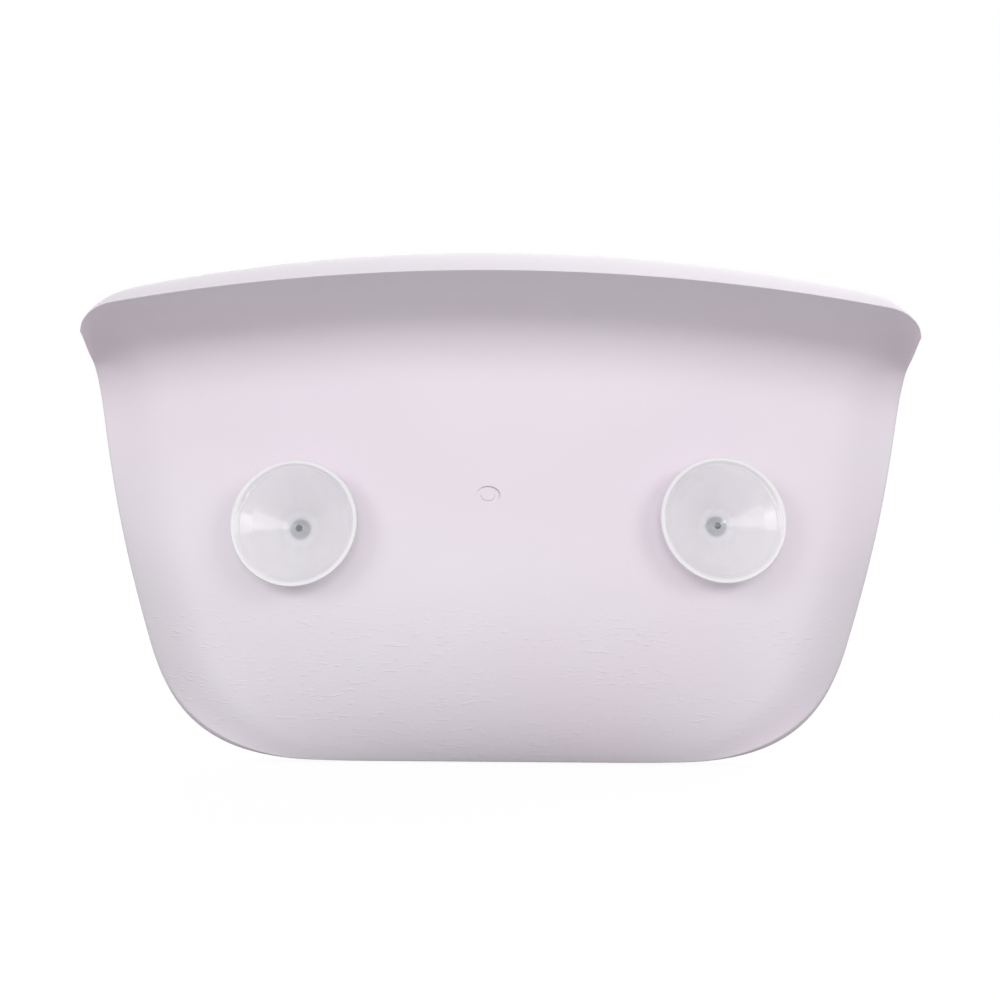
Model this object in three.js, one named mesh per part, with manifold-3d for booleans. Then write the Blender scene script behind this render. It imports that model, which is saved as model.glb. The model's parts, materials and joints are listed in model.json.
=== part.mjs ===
// Bath pillow: a foam headrest in a moulded skin, held to the tub wall by two clear suction cups.
// Millimetres. X runs along the width and Z up the height, and the back, which faces the wall, looks along -Y.
// The origin lies on the wall, in the middle of the width and level with the suction cups.
import * as THREE from "three";
import { mergeVertices } from "three/addons/utils/BufferGeometryUtils.js";
import Module from "manifold-3d";

const wasm = await Module();
wasm.setup();

// Outline of the pillow, seen from behind
const lipHeight = 174.4; // of the lip's edge over the lower edge, in the middle
const footHalfWidth = 112.7; // where the side lines meet the level of the lower edge
const headHalfWidth = 153.8; // where they meet the level of the lip's edge
const sideBulge = 6.3;
const cornerRun = 55.2; // lower corners, along the width
const cornerRise = 40.8; // and up the side
const cornerPower = 2.4;
const lipDroop = 12.6; // of the lip's edge towards its ends
const crestDroop = 17.4; // of the crest above it
const lipCornerRun = 10;
const lipCornerDrop = 9;

// Section through the middle, from the lower edge up the back to the lip's edge
const lowerEdgeDepth = 10;
const bellyDepth = 31;
const bellyHeight = 57;
const neckDepth = 14.6; // where the back turns into the hollow under the lip
const neckHeight = 134.7;
const hollowRadius = 22;
const lipRootDepth = 25.4;
const lipRootHeight = 160.8;
const lipDepth = 54;
const lowerEdgeHandle = 26; // lengths of the curve handles, in the order of the curves
const bellyLowerHandle = 13;
const bellyUpperHandle = 24;
const neckHandle = 28;
const lowerEdgeTilt = THREE.MathUtils.degToRad(49); // of the surface, from upright
const neckTilt = THREE.MathUtils.degToRad(15);
const undersideTilt = THREE.MathUtils.degToRad(64.6);

// Section from the lip's edge over the crest and down the front, which rests the head
const crestRise = 9.7;
const crestDepth = 10;
const frontDepth = 24;
const frontHeight = 132;
const chinDepth = 17;
const chinHeight = 58;
const lipTopHandle = 14;
const lipTopTilt = THREE.MathUtils.degToRad(22); // from level
const crestBackHandle = 18;
const crestFrontHandle = 20;
const frontUpperHandle = 30;
const frontLowerHandle = 27;
const chinUpperHandle = 24;
const chinLowerHandle = 28;
const footHandle = 12;

// Shape across the width
const wallRadius = 470; // the back bows to the hollow of a tub's end wall
const cradleDepth = 5; // of the shallow rest for the head
const cradleHalfWidth = 95;
const sideStep = 11; // of the sides' edge in front of the back, beside the belly
const neckStep = 4.5; // beside the neck
const lipEndStep = 8; // and at the ends of the lip
const sideRollWidth = 24; // the back rolls off to the sides over this width
const lipRollWidth = 9;
const frontRollWidth = 26;
const sideRollPower = 1.15;
const lipRollPower = 2;
const crestBowShare = 0.3; // of the wall's bow that the crest keeps

// Shares of the way up, from the lower edge to the lip's edge, where one curve gives way to the next
const cornerShare = 0.16; // where the step of the sides' edge is full
const bellyShare = 0.28;
const neckShare = 0.62;
const lipRootShare = 0.8;
const crestShare = 0.86;

// Where the rows and columns of the surfaces run, as shares of the height and of the half width
const outerRowShares = [0, 0.035, 0.09, 0.16, 0.28, 0.42, 0.54, 0.62, 0.67, 0.72, 0.77, 0.82, 0.87, 0.92, 0.96, 1];
const outerColumnShares = [0, 0.16, 0.32, 0.48, 0.62, 0.74, 0.84, 0.91, 0.955, 0.985, 1];
const innerRowShares = [0, 0.09, 0.17, 0.28, 0.42, 0.54, 0.62, 0.68, 0.74, 0.8, 0.86, 0.91, 1];
const innerColumnShares = [0, 0.22, 0.44, 0.64, 0.8, 0.91, 1];

// Skin, and the room between parts
const skinThickness = 2;
const lowerPullShare = 3.5; // how far short of the edge the hollow stops, in thicknesses of the skin: below
const lipPullShare = 4.4; // under the lip
const crestPullShare = 2.6; // over the lip
const sidePullShare = 2; // at the sides
const coreClearance = 0.4; // of the core in the hollow
const clearance = 0.3;
const overrun = 1;

// Suction cups: places on the back, and the profile from the rim down to the head in the socket
const leftCupOffset = 70.9; // from the middle of the width
const leftCupHeight = 83.8; // over the lower edge
const rightCupOffset = 77.5;
const rightCupHeight = 85.9;
const cupPlaces = [
  { name: "left", x: -leftCupOffset, z: leftCupHeight },
  { name: "right", x: rightCupOffset, z: rightCupHeight },
];
const rimRadius = 23;
const rimFaceOuterRadius = 22.8;
const rimFaceInnerRadius = 21.5;
const rimHeight = 12; // over the pillow's back, when the cup is slack
const rimBackHeight = 11.3;
const sealRadius = 20; // outer edge of the sealing band
const sealHeight = 10.9;
const sealBackHeight = 9.8;
const bandRadius = 16; // inner edge of the sealing band
const bandHeight = 8.6;
const bandBackHeight = 7.2;
const hubRadius = 3.6;
const hubHeight = 3.1;
const dimpleRadius = 1.4;
const dimpleHeight = 2.4;
const collarRadius = 8; // covers the hole in the skin
const collarHeight = 1.7;
const neckRadius = 3.6;
const headDepth = 6.5; // of the head's shoulder below the pillow's back
const headRadius = 5.6;
const headSideLength = 1.4;
const headLength = 3.2;
const headTipRadius = 2.6;
const cupSides = 32;

// Sockets that hold the heads in the foam
const noseRadius = 7;
const flangeRadius = 12;
const flangeThickness = 1.6;
const barrelRadius = 8.6;
const socketFloor = 1.6;
const headRoom = 1;
const socketSides = 24;

const smooth = (from, to, value) => {
  const share = THREE.MathUtils.clamp((value - from) / (to - from), 0, 1);
  return share * share * (3 - 2 * share);
};

// A point of a section, or a direction in it: depth towards the front, and height.
const at = (depth, height) => new THREE.Vector2(depth, height);
const from = (point, direction, length) => point.clone().addScaledVector(direction, length);
const upright = (tilt) => at(Math.sin(tilt), Math.cos(tilt));

// Chains cubic curves through the knots of a section; the shares say where each one ends.
const section = (curves, shares) => (share) => {
  const last = curves.length - 1;
  const i = Math.min(shares.findIndex((end) => share <= end), last);
  const start = i === 0 ? 0 : shares[i - 1];
  return curves[i].getPoint((share - start) / (shares[i] - start));
};

const lowerEdge = at(-lowerEdgeDepth, 0);
const belly = at(-bellyDepth, bellyHeight);
const neck = at(-neckDepth, neckHeight);
const lipRoot = at(-lipRootDepth, lipRootHeight);
const lipEdge = at(-lipDepth, lipHeight);
const hollowHandle = (4 / 3) * Math.tan((neckTilt + undersideTilt) / 4) * hollowRadius;
const backSection = section(
  [
    new THREE.CubicBezierCurve(
      lowerEdge,
      from(lowerEdge, upright(-lowerEdgeTilt), lowerEdgeHandle),
      from(belly, upright(0), -bellyLowerHandle),
      belly,
    ),
    new THREE.CubicBezierCurve(
      belly,
      from(belly, upright(0), bellyUpperHandle),
      from(neck, upright(neckTilt), -neckHandle),
      neck,
    ),
    new THREE.CubicBezierCurve(
      neck,
      from(neck, upright(neckTilt), hollowHandle),
      from(lipRoot, upright(-undersideTilt), -hollowHandle),
      lipRoot,
    ),
    new THREE.LineCurve(lipRoot, lipEdge),
  ],
  [bellyShare, neckShare, lipRootShare, 1],
);

const chin = at(chinDepth, chinHeight);
const front = at(frontDepth, frontHeight);
const crest = at(-crestDepth, lipHeight + crestRise);
const forward = at(1, 0);
const lipTop = at(Math.cos(lipTopTilt), Math.sin(lipTopTilt));
const frontSection = section(
  [
    new THREE.CubicBezierCurve(
      lowerEdge,
      from(lowerEdge, forward, footHandle),
      from(chin, upright(0), -chinLowerHandle),
      chin,
    ),
    new THREE.CubicBezierCurve(
      chin,
      from(chin, upright(0), chinUpperHandle),
      from(front, upright(0), -frontLowerHandle),
      front,
    ),
    new THREE.CubicBezierCurve(
      front,
      from(front, upright(0), frontUpperHandle),
      from(crest, forward, crestFrontHandle),
      crest,
    ),
    new THREE.CubicBezierCurve(
      crest,
      from(crest, forward, -crestBackHandle),
      from(lipEdge, lipTop, lipTopHandle),
      lipEdge,
    ),
  ],
  [bellyShare, neckShare, crestShare, 1],
);

// Half the width of the outline at a height.
const halfWidthAt = (height) => {
  const share = height / lipHeight;
  const line = THREE.MathUtils.lerp(footHalfWidth, headHalfWidth, share);
  const side = line + 4 * sideBulge * share * (1 - share);
  const down = THREE.MathUtils.clamp(1 - height / cornerRise, 0, 1);
  return side - cornerRun * (1 - (1 - down ** cornerPower) ** (1 / cornerPower));
};

const droopShare = (row) => smooth(bellyShare, neckShare, row);
const lipShare = (row) => smooth(neckShare, 1, row);

// How far the back bows away from the wall, from nothing along the lower edge to its full bow over the belly.
const backBow = (x, row) => {
  const bow = (x * x) / (2 * wallRadius);
  const bulge = -backSection(row).x - lowerEdgeDepth;
  return row < bellyShare ? (bow * bulge) / (bellyDepth - lowerEdgeDepth) : bow;
};

// The edge of the sides, where the back and the front meet. It follows the back from the lower edge to the lip.
const sideEdge = (row) => {
  const middle = backSection(row);
  const height = middle.y - lipDroop * droopShare(row) - lipCornerDrop * lipShare(row);
  const halfWidth = halfWidthAt(height);
  const lowerStep = THREE.MathUtils.lerp(sideStep * smooth(0, cornerShare, row), neckStep, droopShare(row));
  const step = THREE.MathUtils.lerp(lowerStep, lipEndStep, lipShare(row));
  return { halfWidth, depth: middle.x + backBow(halfWidth, row) + step, height };
};

// How far a sheet has risen from the side edge, as a share, at a distance from it.
const roll = (distance, width, power) => {
  const left = THREE.MathUtils.clamp(1 - distance / width, 0, 1);
  return (1 - left * left) ** (1 / power);
};

const lipCorner = (x, halfWidth) => {
  const share = THREE.MathUtils.clamp((Math.abs(x) - halfWidth + lipCornerRun) / lipCornerRun, 0, 1);
  return 1 - Math.sqrt(1 - share * share);
};

// A point of the back, for a column from -1 to 1 and a row from 0 to 1.
const backPoint = (column, row) => {
  const edge = sideEdge(row);
  const x = column * edge.halfWidth;
  const middle = backSection(row);
  const width = THREE.MathUtils.lerp(sideRollWidth, lipRollWidth, lipShare(row));
  const power = THREE.MathUtils.lerp(sideRollPower, lipRollPower, lipShare(row));
  const risen = roll((1 - Math.abs(column)) * edge.halfWidth, width, power);
  const depth = THREE.MathUtils.lerp(edge.depth, middle.x + backBow(x, row), risen);
  const droop = lipDroop * droopShare(row) * (x / edge.halfWidth) ** 2;
  const height = middle.y - droop - lipCornerDrop * lipShare(row) * lipCorner(x, edge.halfWidth);
  return new THREE.Vector3(x, depth, height);
};

// A point of the front, which runs from the lip's edge over the crest and down to the lower edge.
const frontPoint = (column, row) => {
  const edge = sideEdge(row);
  const x = column * edge.halfWidth;
  const middle = frontSection(row);
  const overLip = THREE.MathUtils.clamp((row - crestShare) / (1 - crestShare), 0, 1);
  const bow = (x * x) / (2 * wallRadius);
  const bowShare = THREE.MathUtils.lerp(crestBowShare, 1, overLip) * smooth(neckShare, crestShare, row);
  const cradle = cradleDepth * (1 - smooth(0, cradleHalfWidth, Math.abs(x)));
  const cradleShare = smooth(0, bellyShare, row) * (1 - smooth(neckShare, crestShare, row));
  const width = THREE.MathUtils.lerp(frontRollWidth, lipRollWidth, overLip);
  const risen = roll((1 - Math.abs(column)) * edge.halfWidth, width, 2);
  const inside = middle.x + bow * bowShare - cradle * cradleShare;
  const depth = THREE.MathUtils.lerp(edge.depth, inside, risen);
  const fullDroop = THREE.MathUtils.lerp(crestDroop, lipDroop, overLip);
  const droop = fullDroop * droopShare(row) * (x / edge.halfWidth) ** 2;
  const level = middle.y - droop - lipCornerDrop * lipShare(row) * lipCorner(x, edge.halfWidth);
  const height = THREE.MathUtils.lerp(level, edge.height, (1 - risen) * (1 - overLip));
  return new THREE.Vector3(x, depth, height);
};

// The outward normal of a sheet, from points a small step apart. On an edge it is the normal just inside.
const stepShare = 0.01;
const normalOf = (sheet, column, row, outward) => {
  const inColumn = THREE.MathUtils.clamp(column, stepShare - 1, 1 - stepShare);
  const inRow = THREE.MathUtils.clamp(row, stepShare, 1 - stepShare);
  const alongX = sheet(inColumn + stepShare, inRow).sub(sheet(inColumn - stepShare, inRow));
  const alongRow = sheet(inColumn, inRow + stepShare).sub(sheet(inColumn, inRow - stepShare));
  return alongX.cross(alongRow).normalize().multiplyScalar(outward);
};

const backNormal = (column, row) => normalOf(backPoint, column, row, 1);
const frontNormal = (column, row) => normalOf(frontPoint, column, row, -1);

// A closed pillow form. With an inset, both sheets are drawn in and stop short of the edge, where a wall joins them.
const pillowForm = (inset, rowShares, halfColumnShares) => {
  const pull = inset / lipHeight;
  const sidePull = (sidePullShare * inset) / footHalfWidth;
  const halfColumns = halfColumnShares.map((share) => Math.min(share, 1 - sidePull));
  const columns = [...halfColumns.slice(1).reverse().map((share) => -share), ...halfColumns];
  const positions = [];
  const add = (point) => positions.push(point.x, point.y, point.z) / 3 - 1;
  const sheet = (pointAt, normalAt, topPullShare) =>
    rowShares.map((share) => {
      const row = THREE.MathUtils.clamp(share, lowerPullShare * pull, 1 - topPullShare * pull);
      return columns.map((column) => add(pointAt(column, row).addScaledVector(normalAt(column, row), -inset)));
    });
  const back = sheet(backPoint, backNormal, lipPullShare);
  const face = sheet(frontPoint, frontNormal, crestPullShare);
  const triangles = [];
  const addQuad = (a, b, c, d) => triangles.push(a, b, c, a, c, d);
  const addMirrored = (a, b, c, d) => addQuad(b, c, d, a);
  for (let i = 1; i < columns.length; i += 1) {
    const addCell = columns[i] > 0 ? addQuad : addMirrored;
    for (let j = 1; j < rowShares.length; j += 1) {
      addCell(back[j - 1][i - 1], back[j - 1][i], back[j][i], back[j][i - 1]);
      addCell(face[j][i - 1], face[j][i], face[j - 1][i], face[j - 1][i - 1]);
    }
  }
  const rim = (grid) => {
    const last = columns.length - 1;
    const top = rowShares.length - 1;
    const up = grid.slice(1, top).map((line) => line[last]);
    const down = grid.slice(1, top).map((line) => line[0]);
    return [...grid[0], ...up, ...[...grid[top]].reverse(), ...down.reverse()];
  };
  const [backRim, faceRim] = [rim(back), rim(face)];
  if (inset > 0) {
    backRim.forEach((corner, i) => {
      const next = (i + 1) % backRim.length;
      addQuad(corner, faceRim[i], faceRim[next], backRim[next]);
    });
  }
  const welded = new Map(inset > 0 ? [] : faceRim.map((corner, i) => [corner, backRim[i]]));
  const geometry = new THREE.BufferGeometry();
  geometry.setAttribute("position", new THREE.Float32BufferAttribute(positions, 3));
  geometry.setIndex(triangles.map((corner) => welded.get(corner) ?? corner));
  return geometry;
};

// The same form, drawn in along its normals so that it lies loose in the first.
const drawnIn = (form, distance) => {
  const geometry = form.clone();
  geometry.computeVertexNormals();
  const { position, normal } = geometry.attributes;
  for (let i = 0; i < position.count; i += 1) {
    const outward = new THREE.Vector3().fromBufferAttribute(normal, i);
    const point = new THREE.Vector3().fromBufferAttribute(position, i).addScaledVector(outward, -distance);
    position.setXYZ(i, point.x, point.y, point.z);
  }
  return geometry;
};

const toSolid = (geometry, matrix = new THREE.Matrix4()) => {
  const bare = geometry.clone().applyMatrix4(matrix);
  bare.deleteAttribute("normal");
  bare.deleteAttribute("uv");
  const merged = mergeVertices(bare);
  const mesh = new wasm.Mesh({
    numProp: 3,
    vertProperties: merged.attributes.position.array,
    triVerts: new Uint32Array(merged.index.array),
  });
  return new wasm.Manifold(mesh);
};

const toGeometry = (solid) => {
  const mesh = solid.getMesh();
  const geometry = new THREE.BufferGeometry();
  geometry.setAttribute("position", new THREE.BufferAttribute(mesh.vertProperties, 3));
  geometry.setIndex(new THREE.BufferAttribute(mesh.triVerts, 1));
  geometry.computeVertexNormals();
  return geometry;
};

// A turned piece: radii and heights over the pillow's back, with the axis along +Y of the lathe.
const turned = (profile, sides) =>
  new THREE.LatheGeometry(profile.map(([radius, height]) => at(radius, height)), sides);

// Finds the row of the back at a height, by halving, for the middle of a cup.
const rowAtHeight = (x, height) => {
  let low = 0;
  let high = neckShare;
  while (high - low > Number.EPSILON) {
    const row = (low + high) / 2;
    const point = backPoint(x / sideEdge(row).halfWidth, row);
    if (point.z < height) low = row;
    else high = row;
  }
  return (low + high) / 2;
};

// Where a cup stands on the back, and which way its axis points.
const seats = cupPlaces.map(({ name, x, z }) => {
  const row = rowAtHeight(x, z);
  const column = x / sideEdge(row).halfWidth;
  const place = backPoint(column, row);
  const axis = backNormal(column, row);
  const turn = new THREE.Quaternion().setFromUnitVectors(new THREE.Vector3(0, 1, 0), axis);
  return { name, place, axis, turn };
});

// The wall touches the rims, so the origin lies between their middles.
const wall = new THREE.Vector3();
for (const { place, axis } of seats) {
  wall.add(place.clone().addScaledVector(axis, rimHeight).divideScalar(seats.length));
}
wall.x = 0;

const socketMouth = -headDepth + clearance;
const socketEnd = -headDepth - headLength - headRoom - socketFloor;
const flangeTop = -skinThickness - clearance;
const socketProfile = [
  [neckRadius + clearance, 0],
  [neckRadius + clearance, socketMouth],
  [headRadius + clearance, socketMouth],
  [headRadius + clearance, socketEnd + socketFloor],
  [0, socketEnd + socketFloor],
  [0, socketEnd],
  [barrelRadius, socketEnd],
  [barrelRadius, flangeTop - flangeThickness],
  [flangeRadius, flangeTop - flangeThickness],
  [flangeRadius, flangeTop],
  [noseRadius, flangeTop],
  [noseRadius, 0],
  [neckRadius + clearance, 0],
];

// The room that a socket takes from the skin and the core.
const pocketProfile = [
  [0, socketEnd - clearance],
  [barrelRadius + clearance, socketEnd - clearance],
  [barrelRadius + clearance, flangeTop - flangeThickness - clearance],
  [flangeRadius + clearance, flangeTop - flangeThickness - clearance],
  [flangeRadius + clearance, flangeTop + clearance],
  [noseRadius + clearance, flangeTop + clearance],
  [noseRadius + clearance, overrun],
  [0, overrun],
];

const cupProfile = [
  [0, -headDepth - headLength],
  [headTipRadius, -headDepth - headLength],
  [headRadius, -headDepth - headSideLength],
  [headRadius, -headDepth],
  [neckRadius, -headDepth],
  [neckRadius, clearance],
  [collarRadius, clearance],
  [collarRadius, collarHeight],
  [bandRadius, bandBackHeight],
  [sealRadius, sealBackHeight],
  [rimRadius, rimBackHeight],
  [rimFaceOuterRadius, rimHeight],
  [rimFaceInnerRadius, rimHeight],
  [sealRadius, sealHeight],
  [bandRadius, bandHeight],
  [hubRadius, hubHeight],
  [dimpleRadius, dimpleHeight],
  [0, dimpleHeight],
];

const pocket = turned(pocketProfile, socketSides);
const pockets = seats.map(({ place, turn }) => {
  const scale = new THREE.Vector3(1, 1, 1);
  return toSolid(pocket, new THREE.Matrix4().compose(place, turn, scale));
});
const without = (solid, cuts) => cuts.reduce((left, cut) => left.subtract(cut), solid);

const skinMaterial = new THREE.MeshStandardMaterial({ color: 0xe6dce6, roughness: 0.6, metalness: 0 });
const foamMaterial = new THREE.MeshStandardMaterial({ color: 0xf0e9d8, roughness: 0.95, metalness: 0 });
const socketMaterial = new THREE.MeshStandardMaterial({ color: 0xe4dfe2, roughness: 0.5, metalness: 0 });
const cupMaterial = new THREE.MeshStandardMaterial({ color: 0xdcdee2, roughness: 0.15, metalness: 0 });

const pillow = new THREE.Group();
pillow.position.copy(wall).negate();

const addMesh = (name, geometry, material) => {
  const mesh = new THREE.Mesh(geometry, material);
  mesh.name = name;
  pillow.add(mesh);
  return mesh;
};

// Skin: the moulded outer shell, with a round hole for each socket's nose
const outside = toSolid(pillowForm(0, outerRowShares, outerColumnShares));
const hollowForm = pillowForm(skinThickness, innerRowShares, innerColumnShares);
const hollow = toSolid(hollowForm);
addMesh("pillow_skin", toGeometry(without(outside.subtract(hollow), pockets)), skinMaterial);

// Core: the foam that fills the skin
const core = toSolid(drawnIn(hollowForm, coreClearance)).intersect(hollow);
addMesh("foam_core", toGeometry(without(core, pockets)), foamMaterial);

// Sockets and suction cups, one of each on either side
for (const { name, place, turn } of seats) {
  const pieces = [
    addMesh(`socket_${name}`, turned(socketProfile, socketSides), socketMaterial),
    addMesh(`suction_cup_${name}`, turned(cupProfile, cupSides), cupMaterial),
  ];
  for (const piece of pieces) {
    piece.position.copy(place);
    piece.quaternion.copy(turn);
  }
}

export default pillow;
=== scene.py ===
"""Bath pillow seen from the back: a grained foam pillow with a hooked lip and two clear suction cups."""

import json
import math

import bmesh
import bpy
from mathutils import Euler, Matrix, Vector


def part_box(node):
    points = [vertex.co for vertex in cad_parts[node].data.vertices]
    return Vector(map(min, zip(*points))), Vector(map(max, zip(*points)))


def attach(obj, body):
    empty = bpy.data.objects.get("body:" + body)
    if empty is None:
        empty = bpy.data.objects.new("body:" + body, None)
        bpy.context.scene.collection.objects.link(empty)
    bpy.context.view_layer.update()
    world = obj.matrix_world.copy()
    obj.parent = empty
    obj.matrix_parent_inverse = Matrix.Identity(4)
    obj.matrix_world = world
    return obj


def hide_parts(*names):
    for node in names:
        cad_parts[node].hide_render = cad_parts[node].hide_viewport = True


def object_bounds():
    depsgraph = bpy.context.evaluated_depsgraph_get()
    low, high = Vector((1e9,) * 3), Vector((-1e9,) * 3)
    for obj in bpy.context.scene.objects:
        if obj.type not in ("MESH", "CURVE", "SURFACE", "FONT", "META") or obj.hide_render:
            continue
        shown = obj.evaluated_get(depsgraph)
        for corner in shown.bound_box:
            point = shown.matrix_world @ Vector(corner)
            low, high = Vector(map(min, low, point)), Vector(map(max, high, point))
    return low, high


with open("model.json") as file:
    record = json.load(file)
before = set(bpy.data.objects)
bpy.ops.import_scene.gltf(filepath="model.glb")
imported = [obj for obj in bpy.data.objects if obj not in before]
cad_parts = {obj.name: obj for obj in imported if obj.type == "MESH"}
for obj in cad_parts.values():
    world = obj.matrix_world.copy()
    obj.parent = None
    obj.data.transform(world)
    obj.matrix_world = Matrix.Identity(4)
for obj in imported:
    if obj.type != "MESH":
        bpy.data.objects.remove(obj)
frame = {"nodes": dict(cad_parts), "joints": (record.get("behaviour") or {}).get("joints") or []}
cad_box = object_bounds()

bl_info = {
    "name": "Bath Pillow",
    "version": (1, 0, 0),
    "blender": (4, 5, 0),
    "location": "View3D > Sidebar > Bath Pillow",
    "description": "Builds a foam bath pillow with a moulded skin and clear suction cups",
    "category": "Object",
}

MM = 0.001
PER_DECIMETRE = 10
SIDES = ("left", "right")

# Grids of the pillow's sheets: columns, rows, and how far the lines draw together towards the edges.
OUTER_GRID = (60, 44, 0.8)
HOLLOW_GRID = (48, 40, 0.5)
SUBDIVISIONS = 2
SHARP_ANGLE = math.radians(50)

# Where the hollow ends, as shares of the half width and of the way up each sheet.
HOLLOW_SIDE = 0.965
HOLLOW_FOOT = 0.04
HOLLOW_UNDER_LIP = 0.95
HOLLOW_OVER_LIP = 0.97

# Turned pieces: steps round the axis, and the least turn of an edge that gets rounded.
PIECE_STEPS = 96
CUTTER_STEPS = 64
ROUNDED_ANGLE = math.radians(14)

# Width of the gate mark over its height, and the halvings that find its place on the back.
MARK_FLATNESS = 1.3
MARK_HALVINGS = 30

# The photograph's camera, in metres, degrees and pixels.
CAMERA_DISTANCE = 0.950
CAMERA_HEIGHT = 0.0949
CAMERA_SHIFT = 0.0002
CAMERA_ROLL = -0.45
FOCAL_LENGTH_PIXELS = 2595.6
PHOTO_WIDTH_PIXELS = 1000
SENSOR_WIDTH = 36
NEAREST_SEEN = 0.05

# Name, direction, strength and width in degrees.
LAMPS = (
    ("Key", (0, -1.0, 0.2), 0.64, 18),
    ("Left", (-0.6, -0.73, 0.34), 0.33, 22),
    ("Left, near", (-0.4, -0.875, 0.273), 0.34, 24),
    ("Right", (0.6, -0.73, 0.34), 0.31, 22),
    ("Right, near", (0.438, -0.854, 0.282), 0.32, 21),
    ("Top", (0, 0.2, 1.0), 0.18, 50),
    ("Front", (0.4, 1.0, 0.5), 1.2, 50),
    ("Front, low", (-0.35, 1.0, 0.12), 0.7, 40),
)
AMBIENT_STRENGTH = 0.47
BACKDROP_STRENGTH = 1.0
FLOOR_HALF_WIDTH = 6
FLOOR_GAP = 0.5 * MM
FLOOR_GLOW = 1.08
FLOOR_GLOW_SHARE = 0.8


def length(name, description, millimetres):
    """A size that the user can change, written in millimetres and kept in metres."""
    return bpy.props.FloatProperty(
        name=name,
        description=description,
        default=millimetres * MM,
        unit="LENGTH",
        subtype="DISTANCE",
        precision=4,
    )


def angle(name, description, degrees):
    return bpy.props.FloatProperty(
        name=name,
        description=description,
        default=math.radians(degrees),
        unit="ROTATION",
        subtype="ANGLE",
    )


def share(name, description, value):
    return bpy.props.FloatProperty(name=name, description=description, default=value, subtype="FACTOR")


def colour(name, description, value):
    return bpy.props.FloatVectorProperty(
        name=name, description=description, default=value, size=3, min=0, max=1, subtype="COLOR"
    )


class PillowSizes(bpy.types.PropertyGroup):
    """Sizes of the pillow's outline and sections."""

    lip_height: length("Lip height", "Height of the lip's edge over the lower edge", 174.4)
    foot_half_width: length("Foot half width", "Where the side lines meet the lower edge's level", 112.7)
    head_half_width: length("Head half width", "Where the side lines meet the lip's level", 153.8)
    side_bulge: length("Side bulge", "How far the sides bow out of their straight lines", 6.3)
    corner_run: length("Corner run", "Lower corners, along the width", 55.2)
    corner_rise: length("Corner rise", "Lower corners, up the side", 40.8)
    lip_droop: length("Lip droop", "Drop of the lip's edge towards its ends", 12.6)
    crest_droop: length("Crest droop", "Drop of the crest towards its ends", 17.4)
    lip_corner_run: length("Lip corner run", "Rounded ends of the lip, along the width", 13)
    lip_corner_drop: length("Lip corner drop", "Rounded ends of the lip, down the side", 9)
    lip_tuck: length("Lip tuck", "How far the lip's ends draw in from the side lines", 0.8)
    lower_edge_depth: length("Lower edge depth", "How far the lower edge lies towards the wall", 10)
    belly_depth: length("Belly depth", "How far the back bulges at its fullest", 31)
    belly_height: length("Belly height", "Where the back is fullest", 57)
    neck_depth: length("Neck depth", "Depth where the back turns under the lip", 14.6)
    neck_height: length("Neck height", "Height where the back turns under the lip", 134.7)
    hollow_radius: length("Hollow radius", "Round of the hollow under the lip", 22)
    lip_root_depth: length("Lip root depth", "Depth where the lip's underside runs straight", 25.4)
    lip_root_height: length("Lip root height", "Height where the lip's underside runs straight", 160.8)
    lip_depth: length("Lip depth", "How far the lip's edge stands out over the back", 54)
    crest_rise: length("Crest rise", "Height of the crest over the lip's edge", 9.7)
    crest_depth: length("Crest depth", "Depth of the crest", 10)
    front_depth: length("Front depth", "How far the front bulges at its fullest", 24)
    front_height: length("Front height", "Where the front is fullest", 132)
    chin_depth: length("Chin depth", "Depth of the front's lower half", 17)
    chin_height: length("Chin height", "Height of the front's lower half", 58)
    wall_radius: length("Wall radius", "Bow of the back to a bath's end wall", 470)
    cradle_depth: length("Cradle depth", "Shallow rest for the head", 5)
    cradle_half_width: length("Cradle half width", "Reach of the rest for the head", 95)
    side_step: length("Side step", "How far the belly stands out behind the sides' edge", 11)
    neck_step: length("Neck step", "The same at the neck", 4.5)
    lip_end_step: length("Lip end step", "The same at the ends of the lip", 8)
    side_roll_width: length("Side roll width", "Width over which the back rolls off to the sides", 24)
    lip_roll_width: length("Lip roll width", "Width over which the lip rolls off at its ends", 9)
    front_roll_width: length("Front roll width", "Width over which the front rolls off", 26)
    skin_thickness: length("Skin thickness", "Wall of the moulded skin", 2)
    lower_edge_tilt: angle("Lower edge tilt", "Slope of the back at the lower edge, from upright", 49)
    neck_tilt: angle("Neck tilt", "Slope of the back at the neck, from upright", 15)
    underside_tilt: angle("Underside tilt", "Slope of the lip's underside, from upright", 64.6)
    lip_top_tilt: angle("Lip top tilt", "Slope of the lip's top, from level", 22)
    mark_offset: length("Gate mark offset", "Middle of the gate mark, from the pillow's middle", -4.1)
    mark_height: length("Gate mark height", "Middle of the gate mark, over the level of the cups", 9.1)
    mark_radius: length("Gate mark radius", "Outside of the gate mark's shallow dish", 4.5)
    mark_wall: length("Gate mark wall", "Slope of the dish's wall", 0.2)
    mark_depth: length("Gate mark depth", "Depth of the dish in its middle", 0.6)
    mark_button_radius: length("Gate mark button radius", "Button in the middle of the dish", 2.3)
    mark_button_depth: length("Gate mark button depth", "Depth of the button's top", 0.25)
    mark_rise: angle("Gate mark rise", "How much the dish grows shallower downwards", 4.5)
    mark_lean: angle("Gate mark lean", "How much the dish grows shallower to the left", 2.5)


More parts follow.
